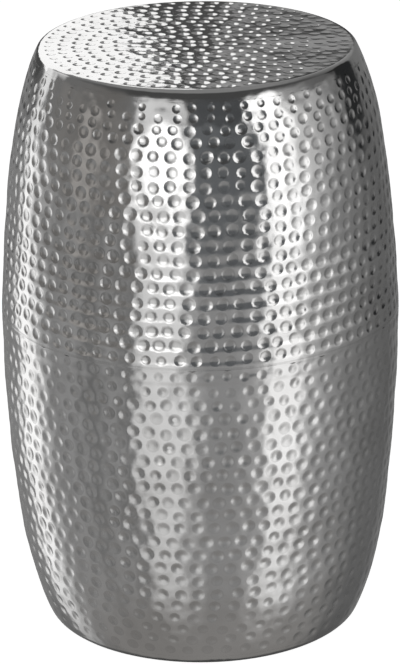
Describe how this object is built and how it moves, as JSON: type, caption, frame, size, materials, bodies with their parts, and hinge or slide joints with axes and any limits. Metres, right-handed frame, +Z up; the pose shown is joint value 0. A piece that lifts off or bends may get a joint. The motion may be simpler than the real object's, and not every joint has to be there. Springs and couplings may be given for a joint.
{
  "type": "drum side table",
  "caption": "Barrel-shaped side table or stool of hammered sheet aluminium, hollow and open underneath, with a flat round top and rubber feet.",
  "frame": {"origin": "on the floor, at the middle of the drum", "axes": "+Z up along the drum's axis; the feet stand half way between +X, +Y, -X and -Y"},
  "size_m": [0.2999, 0.3, 0.455],
  "materials": {
    "hammered_sheet": "polished sheet with hammer marks",
    "weld_metal": "weld dressed almost flush and polished",
    "plain_sheet": "mill finish",
    "steel_wire": "bright drawn wire",
    "foot_rubber": "moulded matt",
    "fastener_steel": "zinc plated"
  },
  "bodies": {
    "root": {"top_plate": "hammered_sheet", "upper_shell": "hammered_sheet", "lower_shell": "hammered_sheet", "base_ring": "hammered_sheet", "rim_weld": "weld_metal", "girth_weld": "weld_metal", "base_weld": "weld_metal", "girth_band": "plain_sheet", "edge_wire": "steel_wire", "foot_1": "foot_rubber", "foot_screw_1": "fastener_steel", "foot_washer_1": "fastener_steel", "foot_nut_1": "fastener_steel", "foot_2": "foot_rubber", "foot_screw_2": "fastener_steel", "foot_washer_2": "fastener_steel", "foot_nut_2": "fastener_steel", "foot_3": "foot_rubber", "foot_screw_3": "fastener_steel", "foot_washer_3": "fastener_steel", "foot_nut_3": "fastener_steel", "foot_4": "foot_rubber", "foot_screw_4": "fastener_steel", "foot_washer_4": "fastener_steel", "foot_nut_4": "fastener_steel"}
  },
  "joints": []
}
